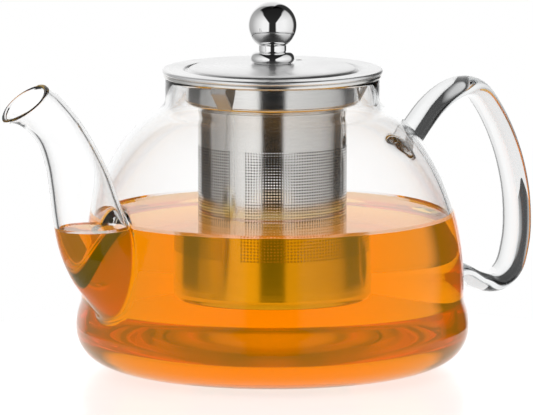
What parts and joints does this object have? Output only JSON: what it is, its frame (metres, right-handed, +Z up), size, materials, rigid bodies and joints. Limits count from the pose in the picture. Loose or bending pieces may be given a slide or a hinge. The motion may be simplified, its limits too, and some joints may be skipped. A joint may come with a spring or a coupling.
{
  "type": "glass teapot",
  "caption": "Round glass teapot with a swan-neck spout, an ear handle, a lift-out perforated steel infuser and a steel lid with a ball knob.",
  "frame": {"origin": "centre of the flat underside that the pot stands on, on the pot's axis", "axes": "+Z up along the pot's axis, the spout points along -X and the handle along +X, Y = 0 is the pot's middle plane"},
  "size_m": [0.2478, 0.1588, 0.1487],
  "materials": {
    "clear_glass": "clear borosilicate glass, fire polished",
    "infuser_steel": "fine satin stainless steel",
    "lid_steel": "bright satin stainless steel",
    "knob_chrome": "mirror polished",
    "fastener_steel": "plain machined"
  },
  "bodies": {
    "pot": {"glass_body": "clear_glass", "spout": "clear_glass", "handle": "clear_glass"},
    "infuser": {"infuser_rim": "infuser_steel", "infuser_lugs": "infuser_steel", "infuser_screen": "infuser_steel", "infuser_band": "infuser_steel", "infuser_base": "infuser_steel"},
    "lid": {"lid_shell": "lid_steel", "lid_sleeve": "lid_steel", "knob_ball": "knob_chrome", "knob_base": "knob_chrome", "knob_screw": "fastener_steel", "knob_washer": "fastener_steel"}
  },
  "joints": [
    {"name": "infuser_lift", "type": "slide", "parent": "pot", "child": "infuser", "axis": [0, 0, 1], "range_m": [0, 0.1]},
    {"name": "lid_lift", "type": "slide", "parent": "infuser", "child": "lid", "axis": [0, 0, 1], "range_m": [0, 0.03]}
  ]
}
